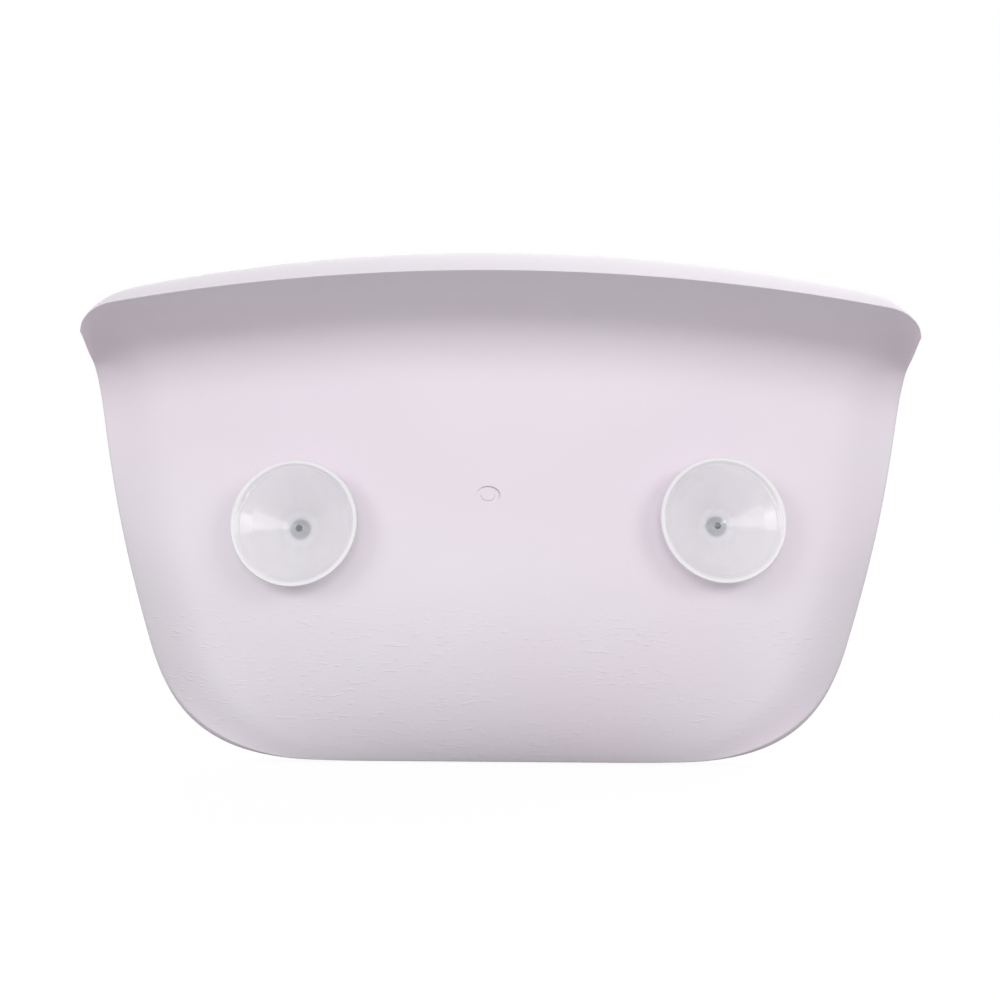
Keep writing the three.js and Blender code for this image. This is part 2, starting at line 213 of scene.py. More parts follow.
class PillowHandles(bpy.types.PropertyGroup):
    """Lengths of the curve handles of the sections, and the shares that part the curves."""

    lower_edge: length("Lower edge", "Handle at the lower edge, up the back", 26)
    belly_lower: length("Belly, lower", "Handle below the belly", 13)
    belly_upper: length("Belly, upper", "Handle above the belly", 24)
    neck: length("Neck", "Handle below the neck", 28)
    foot: length("Foot", "Handle at the lower edge, along the front", 12)
    chin_lower: length("Chin, lower", "Handle below the chin", 28)
    chin_upper: length("Chin, upper", "Handle above the chin", 24)
    front_lower: length("Front, lower", "Handle below the front's fullest point", 27)
    front_upper: length("Front, upper", "Handle above the front's fullest point", 30)
    crest_front: length("Crest, front", "Handle before the crest", 20)
    crest_back: length("Crest, back", "Handle behind the crest", 18)
    lip_top: length("Lip top", "Handle at the lip's edge", 14)
    corner_share: share("Corner share", "Share of the way up where the side step is full", 0.16)
    belly_share: share("Belly share", "Share of the way up where the belly ends", 0.28)
    neck_share: share("Neck share", "Share of the way up where the neck ends", 0.62)
    root_share: share("Lip root share", "Share of the way up the back where the lip's root ends", 0.8)
    crest_share: share("Crest share", "Share of the way up the front where the crest begins", 0.86)
    crest_bow_share: share("Crest bow share", "Share of the wall's bow that the crest keeps", 0.3)


class CupSizes(bpy.types.PropertyGroup):
    """Sizes of a suction cup and its socket, as heights over the pillow's back and radii."""

    rim_radius: length("Rim radius", "Outside of the rim", 23)
    rim_height: length("Rim height", "Height of the rim's face", 12)
    rim_back_height: length("Rim back height", "Height of the rim's back", 11.3)
    rim_outer_radius: length("Rim face radius, outer", "Outer edge of the rim's face", 22.8)
    rim_inner_radius: length("Rim face radius, inner", "Inner edge of the rim's face", 21.5)
    seal_radius: length("Seal radius", "Outer edge of the sealing band", 20)
    seal_height: length("Seal height", "Height of the band's outer edge", 10.9)
    seal_back_height: length("Seal back height", "The same on the cup's back", 9.8)
    band_radius: length("Band radius", "Inner edge of the sealing band", 16)
    band_height: length("Band height", "Height of the band's inner edge", 8.6)
    band_back_height: length("Band back height", "The same on the cup's back", 7.2)
    hub_radius: length("Hub radius", "Flat in the middle of the dish", 3.6)
    hub_height: length("Hub height", "Height of the hub", 3.1)
    dimple_radius: length("Dimple radius", "Gate mark in the middle of the hub", 1.4)
    dimple_height: length("Dimple height", "Height of the gate mark's bottom", 2.4)
    collar_radius: length("Collar radius", "Collar that covers the hole in the skin", 8)
    collar_height: length("Collar height", "Height of the collar's top", 1.7)
    neck_radius: length("Neck radius", "Neck between the collar and the head", 3.6)
    head_radius: length("Head radius", "Mushroom head in the socket", 5.6)
    head_depth: length("Head depth", "Depth of the head's shoulder", 6.5)
    head_side: length("Head side", "Straight side of the head", 1.4)
    head_length: length("Head length", "Length of the head", 3.2)
    tip_radius: length("Tip radius", "End of the head", 2.6)
    nose_radius: length("Nose radius", "Socket where it comes through the skin", 7)
    flange_radius: length("Flange radius", "Socket's flange behind the skin", 12)
    flange_thickness: length("Flange thickness", "Thickness of the flange", 1.6)
    barrel_radius: length("Barrel radius", "Outside of the socket in the foam", 8.6)
    floor: length("Floor", "Thickness of the socket's end", 1.6)
    head_room: length("Head room", "Room between the head and the floor", 1)
    clearance: length("Clearance", "Room between pieces that fit together", 0.3)
    round: length("Round", "Rounding of the moulded edges", 0.18)


class Finish(bpy.types.PropertyGroup):
    """Colours of the materials."""

    skin: colour("Skin", "Pale lilac moulded skin", (0.795, 0.72, 0.79))
    # Paler tone in random patches, and also painted light: the same paler colour is laid along the
    # crest, as if lit from above.
    skin_pale_and_top_light: colour("Skin, light", "Paler cast where the skin is rubbed or thin", (0.80, 0.75, 0.81))
    skin_mark: colour("Skin, mark", "Shade in the narrow edge of the gate mark", (0.26, 0.215, 0.25))
    foam: colour("Foam", "Cushion foam", (0.87, 0.81, 0.68))
    socket: colour("Socket", "Soft plastic of the sockets", (0.77, 0.72, 0.77))
    vinyl: colour("Vinyl", "Milky clear vinyl of the cups", (0.94, 0.925, 0.96))
    vinyl_rim: colour("Vinyl, rim", "The same where it is thick, at the rim", (0.87, 0.855, 0.88))
    vinyl_hub: colour("Vinyl, hub", "The same where the neck stands behind it", (0.80, 0.83, 0.88))
    # Painted shade: the gate's dimple in the middle of a cup is coloured near black.
    vinyl_gate_shade: colour("Vinyl, gate", "Dark gate mark in the middle of a cup", (0.015, 0.02, 0.025))
    floor: colour("Floor", "Pale studio floor", (0.90, 0.90, 0.90))
    shade: colour("Floor's shade", "What the floor throws back on the pillow", (0.46, 0.46, 0.46))


def sizes():
    return bpy.context.scene.bath_pillow_sizes


def smooth(low, high, value):
    """0 below low, 1 above high and an even S between them."""
    part = min(max((value - low) / (high - low), 0), 1)
    return part * part * (3 - 2 * part)


def lerp(first, last, part):
    return first + (last - first) * part


def upright(tilt):
    """The direction of a section that runs up, leaning towards the front by a tilt."""
    return Vector((math.sin(tilt), math.cos(tilt)))


class Section:
    """Cubic curves end to end, each a knot, two handles and a knot.

    The shares say how far along the way each curve ends.
    """

    def __init__(self, curves, shares):
        self.curves = curves
        self.shares = shares

    def point(self, row):
        i = next((i for i, end in enumerate(self.shares) if row <= end), len(self.shares) - 1)
        start = self.shares[i - 1] if i else 0
        t = (row - start) / (self.shares[i] - start)
        a, b, c, d = self.curves[i]
        s = 1 - t
        return a * s**3 + b * (3 * s * s * t) + c * (3 * s * t * t) + d * t**3


def back_section(size, handle):
    """Depth and height from the lower edge up the back to the lip's edge."""
    lower = Vector((-size.lower_edge_depth, 0))
    belly = Vector((-size.belly_depth, size.belly_height))
    neck = Vector((-size.neck_depth, size.neck_height))
    root = Vector((-size.lip_root_depth, size.lip_root_height))
    edge = Vector((-size.lip_depth, size.lip_height))
    up, up_edge = upright(0), upright(-size.lower_edge_tilt)
    up_neck, up_lip = upright(size.neck_tilt), upright(-size.underside_tilt)
    reach = 4 / 3 * math.tan((size.neck_tilt + size.underside_tilt) / 4) * size.hollow_radius
    curves = [
        (lower, lower + up_edge * handle.lower_edge, belly - up * handle.belly_lower, belly),
        (belly, belly + up * handle.belly_upper, neck - up_neck * handle.neck, neck),
        (neck, neck + up_neck * reach, root - up_lip * reach, root),
        (root, root.lerp(edge, 1 / 3), root.lerp(edge, 2 / 3), edge),
    ]
    return Section(curves, (handle.belly_share, handle.neck_share, handle.root_share, 1))


def front_section(size, handle):
    """Depth and height from the lower edge up the front and over the crest to the lip's edge."""
    lower = Vector((-size.lower_edge_depth, 0))
    chin = Vector((size.chin_depth, size.chin_height))
    front = Vector((size.front_depth, size.front_height))
    crest = Vector((-size.crest_depth, size.lip_height + size.crest_rise))
    edge = Vector((-size.lip_depth, size.lip_height))
    up, forward = upright(0), Vector((1, 0))
    lip_top = Vector((math.cos(size.lip_top_tilt), math.sin(size.lip_top_tilt)))
    curves = [
        (lower, lower + forward * handle.foot, chin - up * handle.chin_lower, chin),
        (chin, chin + up * handle.chin_upper, front - up * handle.front_lower, front),
        (front, front + up * handle.front_upper, crest + forward * handle.crest_front, crest),
        (crest, crest - forward * handle.crest_back, edge + lip_top * handle.lip_top, edge),
    ]
    return Section(curves, (handle.belly_share, handle.neck_share, handle.crest_share, 1))


class PillowForm:
    """Points of the pillow's back and front, for a column from -1 to 1 and a row from 0 to 1."""

    corner_power = 2.4
    side_roll_power = 1.15
    lip_roll_power = 2
    front_roll_power = 2
    step_share = 0.01

    def __init__(self):
        self.size = sizes()
        self.handle = bpy.context.scene.bath_pillow_handles
        self.back_curves = back_section(self.size, self.handle)
        self.front_curves = front_section(self.size, self.handle)
        low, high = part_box("pillow_skin")
        self.edge_place = Vector((0, high[1] - self.size.front_depth, low[2]))

    def half_width(self, height):
        size = self.size
        up = height / size.lip_height
        side = lerp(size.foot_half_width, size.head_half_width, up)
        side += 4 * size.side_bulge * up * (1 - up)
        down = min(max(1 - height / size.corner_rise, 0), 1)
        power = self.corner_power
        return side - size.corner_run * (1 - (1 - down**power) ** (1 / power))

    def droop_share(self, row):
        return smooth(self.handle.belly_share, self.handle.neck_share, row)

    def lip_share(self, row):
        return smooth(self.handle.neck_share, 1, row)

    def back_bow(self, x, row):
        """How far the back bows away from the wall, from nothing at the lower edge to its full bow."""
        size = self.size
        bow = x * x / (2 * size.wall_radius)
        if row >= self.handle.belly_share:
            return bow
        bulge = -self.back_curves.point(row).x - size.lower_edge_depth
        return bow * bulge / (size.belly_depth - size.lower_edge_depth)

    def side_edge(self, row):
        """Half width, depth and height of the edge of the sides, where back and front meet."""
        size = self.size
        lip = self.lip_share(row)
        middle = self.back_curves.point(row)
        height = middle.y - size.lip_droop * self.droop_share(row) - size.lip_corner_drop * lip
        half_width = self.half_width(height) - size.lip_tuck * lip**4
        side_step = size.side_step * smooth(0, self.handle.corner_share, row)
        step = lerp(side_step, size.neck_step, self.droop_share(row))
        depth = middle.x + self.back_bow(half_width, row) + lerp(step, size.lip_end_step, lip)
        return half_width, depth, height

    def risen(self, column, half_width, width, power):
        """How far a sheet has risen from the edge of the sides to its full depth."""
        left = min(max(1 - (1 - abs(column)) * half_width / width, 0), 1)
        return (1 - left * left) ** (1 / power)

    def corner_drop(self, row, x, half_width):
        """How far the rounded ends of the lip fall under its line."""
        run = self.size.lip_corner_run
        part = min(max((abs(x) - half_width + run) / run, 0), 1)
        return self.size.lip_corner_drop * self.lip_share(row) * (1 - math.sqrt(1 - part * part))

    def back(self, column, row):
        size = self.size
        half_width, edge_depth, _ = self.side_edge(row)
        x = column * half_width
        depth, height = self.back_curves.point(row)
        lip = self.lip_share(row)
        width = lerp(size.side_roll_width, size.lip_roll_width, lip)
        power = lerp(self.side_roll_power, self.lip_roll_power, lip)
        risen = self.risen(column, half_width, width, power)
        droop = size.lip_droop * self.droop_share(row) * column**2
        y = lerp(edge_depth, depth + self.back_bow(x, row), risen)
        return self.edge_place + Vector((x, y, height - droop - self.corner_drop(row, x, half_width)))

    def front(self, column, row):
        size = self.size
        crest_share, neck_share = self.handle.crest_share, self.handle.neck_share
        half_width, edge_depth, edge_height = self.side_edge(row)
        x = column * half_width
        depth, height = self.front_curves.point(row)
        over_lip = min(max((row - crest_share) / (1 - crest_share), 0), 1)
        to_crest = smooth(neck_share, crest_share, row)
        bow = x * x / (2 * size.wall_radius) * lerp(self.handle.crest_bow_share, 1, over_lip) * to_crest
        cradle = size.cradle_depth * (1 - smooth(0, size.cradle_half_width, abs(x)))
        cradle *= smooth(0, self.handle.belly_share, row) * (1 - to_crest)
        width = lerp(size.front_roll_width, size.lip_roll_width, over_lip)
        risen = self.risen(column, half_width, width, self.front_roll_power)
        droop = lerp(size.crest_droop, size.lip_droop, over_lip) * self.droop_share(row) * column**2
        level = height - droop - self.corner_drop(row, x, half_width)
        y = lerp(edge_depth, depth + bow - cradle, risen)
        return self.edge_place + Vector((x, y, lerp(level, edge_height, (1 - risen) * (1 - over_lip))))

    def drawn_in(self, place, column, row, inset, outward):
        """A point of a sheet, drawn in along its normal. Outward is 1 on the back, -1 on the front."""
        step = self.step_share
        c = min(max(column, step - 1), 1 - step)
        r = min(max(row, step), 1 - step)
        across = place(c + step, r) - place(c - step, r)
        up = place(c, r + step) - place(c, r - step)
        return place(column, row) - across.cross(up).normalized() * (inset * outward)


def eased(value, amount):
    """Brings grid lines together towards -1 and 1."""
    return value + amount * math.sin(math.pi * value) / math.pi


def new_object(name, mesh_builder):
    """An object at the origin whose mesh the builder fills."""
    mesh = bpy.data.meshes.new(name)
    bm = bmesh.new()
    mesh_builder(bm)
    bm.to_mesh(mesh)
    bm.free()
    piece = bpy.data.objects.new(name, mesh)
    bpy.context.scene.collection.objects.link(piece)
    return piece


def outer_form(bm):
    """The pillow's outside: two sheets of grid that meet along the mould's parting edge."""
    form = PillowForm()
    columns, rows, easing = OUTER_GRID
    back = bmesh.ops.create_grid(bm, x_segments=columns, y_segments=rows, size=1)["verts"]
    back_faces = set(bm.faces)
    front = bmesh.ops.create_grid(bm, x_segments=columns, y_segments=rows, size=1)["verts"]
    bmesh.ops.reverse_faces(bm, faces=[face for face in bm.faces if face not in back_faces])
    for verts, place in ((back, form.back), (front, form.front)):
        for vert in verts:
            on_edge = vert.is_boundary
            column, row = eased(vert.co.x, easing), (eased(vert.co.y, easing) + 1) / 2
            column, row = min(max(column, -1), 1), min(max(row, 0), 1)
            vert.co = form.back(column, row) if on_edge else place(column, row)
    bmesh.ops.remove_doubles(bm, verts=bm.verts, dist=0.01 * MM)


def hollow_form(bm):
    """The room inside the skin: both sheets drawn in, short of the edge, and joined there by a wall."""
    form = PillowForm()
    inset = form.size.skin_thickness
    columns, rows, easing = HOLLOW_GRID
    for place, outward, top in ((form.back, 1, HOLLOW_UNDER_LIP), (form.front, -1, HOLLOW_OVER_LIP)):
        verts = bmesh.ops.create_grid(bm, x_segments=columns, y_segments=rows, size=1)["verts"]
        for vert in verts:
            column = eased(vert.co.x, easing) * HOLLOW_SIDE
            row = lerp(HOLLOW_FOOT, top, (eased(vert.co.y, easing) + 1) / 2)
            vert.co = form.drawn_in(place, column, row, inset, outward)
    bmesh.ops.bridge_loops(bm, edges=[edge for edge in bm.edges if edge.is_boundary])
    bmesh.ops.recalc_face_normals(bm, faces=bm.faces)


def seat(side):
    """Places a turned piece, drawn along +Z over the pillow's back, at the cup's place."""
    joint = next(joint for joint in frame["joints"] if joint["name"] == f"cup_{side}_spin")
    turn = Vector((0, 0, 1)).rotation_difference(Vector(joint["axis"]))
    return Matrix.Translation(joint["pos_m"]) @ turn.to_matrix().to_4x4()


def held(profile, margin=0.5 * MM, most=0.25):
    """The profile with points near the ends of its long lines, which keep their shading straight."""
    points = [Vector(point) for point in profile]
    kept = points[:1]
    for start, end in zip(points, points[1:]):
        part = margin / (end - start).length
        if part < most:
            kept += [start.lerp(end, part), start.lerp(end, 1 - part)]
        kept.append(end)
    return kept


def turned(name, profile, matrix, steps=PIECE_STEPS, rounding=0):
    """An object spun round Z from a profile of radii and heights, rounded and put in its place."""

    def build(bm):
        verts = [bm.verts.new((radius, 0, height)) for radius, height in held(profile)]
        edges = [bm.edges.new(pair) for pair in zip(verts, verts[1:])]
        bmesh.ops.spin(
            bm,
            geom=verts + edges,
            cent=(0, 0, 0),
            axis=(0, 0, 1),
            dvec=(0, 0, 0),
            angle=2 * math.pi,
            steps=steps,
            use_merge=True,
            use_normal_flip=False,
            use_duplicate=False,
        )
        bmesh.ops.remove_doubles(bm, verts=bm.verts, dist=0.005 * MM)
        bmesh.ops.recalc_face_normals(bm, faces=bm.faces)
        if rounding:
            round_rings(bm, rounding)
        bmesh.ops.transform(bm, matrix=matrix, verts=bm.verts)

    return new_object(name, build)


def round_rings(bm, rounding):
    """Rounds the edges that run round the axis and turn clearly."""
    sharp = [edge for edge in bm.edges if edge.calc_face_angle(0) > ROUNDED_ANGLE]
    rings = [edge for edge in sharp if abs(edge.verts[0].co.z - edge.verts[1].co.z) < 0.001 * MM]
    bmesh.ops.bevel(
        bm,
        geom=rings,
        offset=rounding,
        offset_type="OFFSET",
        affect="EDGES",
        segments=3,
        profile=0.5,
        material=-1,
        clamp_overlap=True,
    )


def cup_profile(size):
    """From the head's end up the neck and the cup's back, over the rim and down the dish to the hub."""
    return (
        (0, -size.head_depth - size.head_length),
        (size.tip_radius, -size.head_depth - size.head_length),
        (size.head_radius, -size.head_depth - size.head_side),
        (size.head_radius, -size.head_depth),
        (size.neck_radius, -size.head_depth),
        (size.neck_radius, size.clearance),
        (size.collar_radius, size.clearance),
        (size.collar_radius, size.collar_height),
        (size.band_radius, size.band_back_height),
        (size.seal_radius, size.seal_back_height),
        (size.rim_radius, size.rim_back_height),
        (size.rim_outer_radius, size.rim_height),
        (size.rim_inner_radius, size.rim_height),
        (size.seal_radius, size.seal_height),
        (size.band_radius, size.band_height),
        (size.hub_radius, size.hub_height),
        (size.dimple_radius, size.dimple_height),
        (0, size.dimple_height),
    )


def socket_profile(size, skin):
    """From the room for the head out of the bore, down the nose and round the flange and barrel."""
    bore, mouth = size.neck_radius + size.clearance, -size.head_depth + size.clearance
    room = size.head_radius + size.clearance
    end = -size.head_depth - size.head_length - size.head_room - size.floor
    flange = -skin - size.clearance
    return (
        (0, end + size.floor),
        (room, end + size.floor),
        (room, mouth),
        (bore, mouth),
        (bore, 0),
        (size.nose_radius, 0),
        (size.nose_radius, flange),
        (size.flange_radius, flange),
        (size.flange_radius, flange - size.flange_thickness),
        (size.barrel_radius, flange - size.flange_thickness),
        (size.barrel_radius, end),
        (0, end),
    )


def pocket_profile(size, skin):
    """The room that a socket takes from the skin, with its mouth open to the back."""
    gap = size.clearance
    flange = -skin - gap
    deep = flange - size.flange_thickness - gap
    over = size.rim_height
    return (
        (0, deep),
        (size.flange_radius + gap, deep),
        (size.flange_radius + gap, flange + gap),
        (size.nose_radius + gap, flange + gap),
        (size.nose_radius + gap, over),
        (0, over),
    )


def mark_profile(size):
    """What the gate mark takes from the back: a shallow dish round a button."""
    over = size.mark_radius
    return (
        (0, -size.mark_button_depth),
        (size.mark_button_radius, -size.mark_button_depth),
        (size.mark_button_radius + size.mark_wall, -size.mark_depth),
        (size.mark_radius - size.mark_wall, -size.mark_depth),
        (size.mark_radius, size.mark_depth),
        (size.mark_radius, over),
        (0, over),
    )


def mark_seat():
    """Places the gate mark on the back, flatter than round and deepest at its upper right."""
    form = PillowForm()
    size = form.size
    low, high = 0, form.handle.neck_share
    for _ in range(MARK_HALVINGS):
        row = (low + high) / 2
        column = size.mark_offset / form.side_edge(row)[0]
        if form.back(column, row).z < size.mark_height:
            low = row
        else:
            high = row
    middle = form.back(column, row)
    outward = middle - form.drawn_in(form.back, column, row, 1, 1)
    up = outward.cross(Vector((1, 0, 0))).normalized()
    turn = Matrix((up.cross(outward), up, outward)).transposed()
    turn = turn @ Matrix.Rotation(-size.mark_rise, 3, "X") @ Matrix.Rotation(size.mark_lean, 3, "Y")
    return Matrix.Translation(middle) @ (turn @ Matrix.Diagonal((1, 1 / MARK_FLATNESS, 1))).to_4x4()


class Value:
    """A node's output. Sums and products of values add their Math nodes."""

    def __init__(self, shader, output):
        self.shader = shader
        self.output = output

    def _math(self, operation, first, second):
        return self.shader.node("ShaderNodeMath", {"operation": operation}, {0: first, 1: second})

    def __add__(self, other):
        return self._math("ADD", self, other)

    def __radd__(self, other):
        return self._math("ADD", other, self)

    def __sub__(self, other):
        return self._math("SUBTRACT", self, other)

    def __rsub__(self, other):
        return self._math("SUBTRACT", other, self)

    def __mul__(self, other):
        return self._math("MULTIPLY", self, other)

    def __rmul__(self, other):
        return self._math("MULTIPLY", other, self)


class Shader:
    """The nodes of a material or a world."""

    def __init__(self, owner):
        self.owner = owner
        owner.use_nodes = True
        self.tree = owner.node_tree
        self.tree.nodes.clear()

    def node(self, kind, settings=None, values=None, output=0):
        """Adds a node, sets it, then sets or links its sockets, and gives one of its outputs."""
        made = self.tree.nodes.new(kind)
        for key, value in (settings or {}).items():
            if key == "stops":
                self.set_ramp(made.color_ramp, value)
            else:
                setattr(made, key, value)
        for key, value in (values or {}).items():
            if isinstance(value, Value):
                self.tree.links.new(value.output, made.inputs[key])
            else:
                made.inputs[key].default_value = value
        return Value(self, made.outputs[output]) if made.outputs else made

    def set_ramp(self, ramp, stops):
        while len(ramp.elements) < len(stops):
            ramp.elements.new(1)
        for element, (position, level) in zip(ramp.elements, stops):
            element.position = position
            element.color = (level, level, level, 1)

    def place(self, scale=(1, 1, 1), shift=(0, 0, 0)):
        """Object coordinates in metres, stretched and shifted."""
        at = self.node("ShaderNodeTexCoord", output="Object")
        return self.node("ShaderNodeMapping", {}, {"Vector": at, "Scale": scale, "Location": shift})

    def seated(self, matrix):
        """Coordinates in the space that the matrix places in the object."""
        shift, turn, _ = matrix.decompose()
        at = self.node("ShaderNodeTexCoord", output="Object")
        values = {"Vector": at, "Location": shift, "Rotation": turn.to_euler()}
        return self.node("ShaderNodeMapping", {"vector_type": "TEXTURE"}, values)

    def part(self, at, axis):
        return self.node("ShaderNodeSeparateXYZ", {}, {0: at}, axis)

    def distance(self, at, axes):
        """Length of the coordinates, with the axes that have a 0 left out."""
        flat = self.node("ShaderNodeVectorMath", {"operation": "MULTIPLY"}, {0: at, 1: axes})
        return self.node("ShaderNodeVectorMath", {"operation": "LENGTH"}, {0: flat}, "Value")

    def noise(self, at, scale, detail=2.0, roughness=0.5, distortion=0.0):
        values = {"Vector": at, "Scale": scale, "Detail": detail}
        values |= {"Roughness": roughness, "Distortion": distortion}
        return self.node("ShaderNodeTexNoise", {}, values, "Fac")

    def ramp(self, value, *stops):
        return self.node("ShaderNodeValToRGB", {"stops": stops}, {"Fac": value})

    def mix(self, part, first, last):
        """A mix of two colours, whose sockets share their names with those for other kinds of value."""
        first_colour, last_colour, result = 6, 7, 2
        values = {"Factor": part, first_colour: first, last_colour: last}
        return self.node("ShaderNodeMix", {"data_type": "RGBA"}, values, result)

    def bump(self, height, distance, strength=1.0):
        values = {"Height": height, "Distance": distance, "Strength": strength}
        return self.node("ShaderNodeBump", {}, values)

    def finish(self, values):
        surface = self.node("ShaderNodeBsdfPrincipled", {}, values)
        self.node("ShaderNodeOutputMaterial", {}, {"Surface": surface})
        return self.owner


def rgba(value):
    return (*value, 1)


def skin_material():
    """Matte moulded skin: a fine grain, short wrinkles in patches low down, painted light along the
    crest, and a shaded gate mark.
    """
    finish = bpy.context.scene.bath_pillow_finish
    shader = Shader(bpy.data.materials.new("Skin"))
    grain = shader.noise(shader.place(scale=(0.7, 0.8, 1)), scale=900, detail=3, roughness=0.6)
    lines = shader.place(scale=(0.4, 0.5, 1.5))
    creases = shader.noise(lines, scale=640, detail=1.5, roughness=0.4, distortion=0.25)
    areas = shader.noise(shader.place(scale=(0.8, 1, 1.5)), scale=34, detail=1)
    patches = shader.ramp(areas, (0.38, 0.2), (0.6, 0.8))
    height = shader.part(shader.place(shift=(0, 0, 0.1)), "Z") * PER_DECIMETRE
    low = shader.ramp(height, (0.1, 0.4), (0.55, 1), (0.75, 0))
    wrinkles = shader.ramp(creases, (0.59, 0), (0.71, 1)) * patches * low

    tint = shader.noise(shader.place(scale=(1, 1, 1.4)), scale=9, detail=2)
    # Painted light: the crest along the top is paler, as if lit from above.
    crest = shader.ramp(shader.part(shader.place(), "Z") * PER_DECIMETRE, (0.68, 0), (0.8, 1))
    pale = shader.ramp(tint, (0.4, 0), (0.66, 1)) + crest
    cast = shader.mix(pale, rgba(finish.skin), rgba(finish.skin_pale_and_top_light))
    return shader.finish(
        {
            "Base Color": shader.mix(mark_shade(shader), cast, rgba(finish.skin_mark)),
            "Roughness": 0.5 + 0.14 * grain,
            "Specular IOR Level": 0.35,
            "Normal": shader.bump(grain * 0.25 + wrinkles, distance=0.2 * MM, strength=0.8),
        }
    )


def mark_shade(shader):
    """Shade in the gate mark: along its wall at the upper right, and at the foot of its button.

    Reach is 0 in the middle of the mark and 0.5 at its outside.
    Deeper goes from 0 at the mark's lower left to 1 at its upper right.
    """
    size = sizes()
    spot = shader.place(shift=(-size.mark_offset, 0, -size.mark_height))
    to_half = 0.5 / size.mark_radius
    reach = shader.distance(spot, (1, 0, MARK_FLATNESS)) * to_half
    deeper = (shader.part(spot, "X") * 0.5 + shader.part(spot, "Z")) * to_half + 0.5
    wall = shader.ramp(reach, (0.42, 0), (0.46, 0.45), (0.51, 0))
    button = shader.ramp(reach, (0.23, 0), (0.28, 0.15), (0.34, 0))
    upper_right = shader.ramp(deeper, (0.5, 0), (0.8, 1))
    lower_left = shader.ramp(1 - deeper, (0.55, 0), (0.65, 1))
    depth = shader.part(shader.place(), "Y") * (2 * PER_DECIMETRE)
    on_back = shader.ramp(depth, (0.45, 1), (0.55, 0))
    return (wall * upper_right + button * lower_left) * on_back


def foam_material():
    """Open-cell foam, with painted shade in its pits."""
    foam = bpy.context.scene.bath_pillow_finish.foam
    shader = Shader(bpy.data.materials.new("Foam"))
    values = {"Vector": shader.place(), "Scale": 700}
    cells = shader.node("ShaderNodeTexVoronoi", {"feature": "F1"}, values)
    pits = shader.ramp(cells, (0.1, 0), (0.5, 1))
    # Painted shade: the pits of the cells are coloured darker.
    shade = shader.mix(pits, rgba([0.8 * part for part in foam]), rgba(foam))
    normal = shader.bump(pits, distance=0.4 * MM, strength=0.8)
    return shader.finish({"Base Color": shade, "Roughness": 0.9, "Normal": normal})


def socket_material():
    """Soft plastic with faint flow marks."""
    socket = bpy.context.scene.bath_pillow_finish.socket
    shader = Shader(bpy.data.materials.new("Socket"))
    flow = shader.noise(shader.place(), scale=260, detail=3)
    shade = shader.mix(flow, rgba([0.94 * part for part in socket]), rgba(socket))
    normal = shader.bump(flow, distance=0.03 * MM, strength=0.5)
    return shader.finish({"Base Color": shade, "Roughness": 0.42 + 0.15 * flow, "Normal": normal})


def vinyl_material(side):
    """Milky vinyl of one cup: clear in the dish, white at the rim, grey at the hub, and painted shade in
    the gate's dimple.
    """
    finish = bpy.context.scene.bath_pillow_finish
    cup = bpy.context.scene.bath_pillow_cups
    shader = Shader(bpy.data.materials.new(f"Clear vinyl, {side}"))
    reach = shader.distance(shader.seated(seat(side)), (1, 1, 0)) * (1 / cup.rim_radius)
    haze = shader.noise(shader.place(), scale=60, detail=2)
    rim = shader.ramp(reach, (0.90, 0), (0.92, 1))
    hub = shader.ramp(reach, (0.12, 1), (0.22, 0))
    # Painted shade: the gate's dimple is darkened and made nearly opaque.
    gate = shader.ramp(reach, (0.05, 1), (0.07, 0))
    ridges = shader.ramp(reach, (0.86, 0), (0.87, 1), (0.88, 0))
    milk = shader.mix(rim, rgba(finish.vinyl), rgba(finish.vinyl_rim))
    milk = shader.mix(hub, milk, rgba(finish.vinyl_hub))
    return shader.finish(
        {
            "Base Color": shader.mix(gate, milk, rgba(finish.vinyl_gate_shade)),
            "Alpha": 0.43 + 0.08 * haze + 0.3 * rim + 0.5 * gate,
            "Roughness": 0.05 + 0.05 * haze + 0.25 * rim,
            "Specular IOR Level": 0.75,
            "Normal": shader.bump(ridges, distance=0.08 * MM),
        }
    )


def finish_piece(piece, material, node, body):
    """Gives a new piece its material, the CAD node it stands for and the body it moves with."""
    piece.data.materials.clear()
    piece.data.materials.append(material)
    piece.data.shade_smooth()
    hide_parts(node)
    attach(piece, body)


def apply_modifiers(piece):
    """Applies the piece's modifiers to its mesh."""
    graph = bpy.context.evaluated_depsgraph_get()
    mesh = bpy.data.meshes.new_from_object(piece.evaluated_get(graph))
    piece.modifiers.clear()
    piece.data = mesh


class BATHPILLOW_OT_skin(bpy.types.Operator):
    """Builds the moulded skin with its parting edge, its hollow, its socket holes and its gate mark"""

    bl_idname = "bath_pillow.skin"
    bl_label = "Build Skin"

    def execute(self, context):
        size = sizes()
        skin = new_object("skin", outer_form)
        rounded = skin.modifiers.new("Rounded", "SUBSURF")
        rounded.levels = rounded.render_levels = SUBDIVISIONS
        pocket = pocket_profile(context.scene.bath_pillow_cups, size.skin_thickness)
        cutters = [new_object("hollow", hollow_form)]
        cutters += [turned(f"pocket_{side}", pocket, seat(side), CUTTER_STEPS) for side in SIDES]
        cutters.append(turned("gate_mark", mark_profile(size), mark_seat(), CUTTER_STEPS))
        for cutter in cutters:
            cut = skin.modifiers.new(cutter.name, "BOOLEAN")
            cut.operation, cut.solver, cut.object = "DIFFERENCE", "MANIFOLD", cutter
        apply_modifiers(skin)
        for cutter in cutters:
            bpy.data.objects.remove(cutter)
        finish_piece(skin, skin_material(), "pillow_skin", "pillow")
        skin.data.set_sharp_from_angle(angle=SHARP_ANGLE)
        return {"FINISHED"}


class BATHPILLOW_OT_core(bpy.types.Operator):
    """Gives the foam core inside the skin its material"""

    bl_idname = "bath_pillow.core"
    bl_label = "Finish Foam Core"

    def execute(self, context):
        core = frame["nodes"]["foam_core"]
        core.data.materials.clear()
        core.data.materials.append(foam_material())
        return {"FINISHED"}


